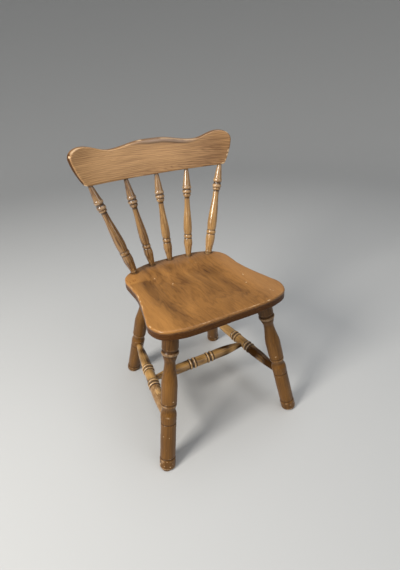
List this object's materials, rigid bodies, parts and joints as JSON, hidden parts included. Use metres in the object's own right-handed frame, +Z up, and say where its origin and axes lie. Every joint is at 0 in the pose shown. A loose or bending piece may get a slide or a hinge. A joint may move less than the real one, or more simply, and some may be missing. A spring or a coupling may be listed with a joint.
{
  "type": "spindle-back dining chair",
  "caption": "Worn varnished wooden kitchen chair: scooped solid seat, splayed turned legs with an H stretcher, turned back spindles and a bent crest rail with a wavy top edge.",
  "frame": {"origin": "on the floor, at the middle of the chair's width and depth", "axes": "+Z up; the chair faces -Y; +X is towards the right as seen from the front"},
  "size_m": [0.4978, 0.4928, 0.8026],
  "materials": {
    "seat": "worn glossy clear varnish over orange-brown stain",
    "crest_rail": "worn satin varnish over tan-brown stain, chipped at the edges",
    "spindles": "glossy varnish over golden-brown stain, dark in the grooves",
    "legs": "worn satin varnish over brown stain, scuffed at the feet",
    "stretchers": "worn satin varnish over golden-brown stain, rubbed pale on top"
  },
  "bodies": {
    "root": {"seat": "seat", "crest_rail": "crest_rail", "end_post_left": "spindles", "end_post_right": "spindles", "spindle_left": "spindles", "spindle_middle": "spindles", "spindle_right": "spindles", "front_leg_left": "legs", "front_leg_right": "legs", "rear_leg_left": "legs", "rear_leg_right": "legs", "side_stretcher_left": "stretchers", "side_stretcher_right": "stretchers", "cross_stretcher": "stretchers"}
  },
  "joints": []
}
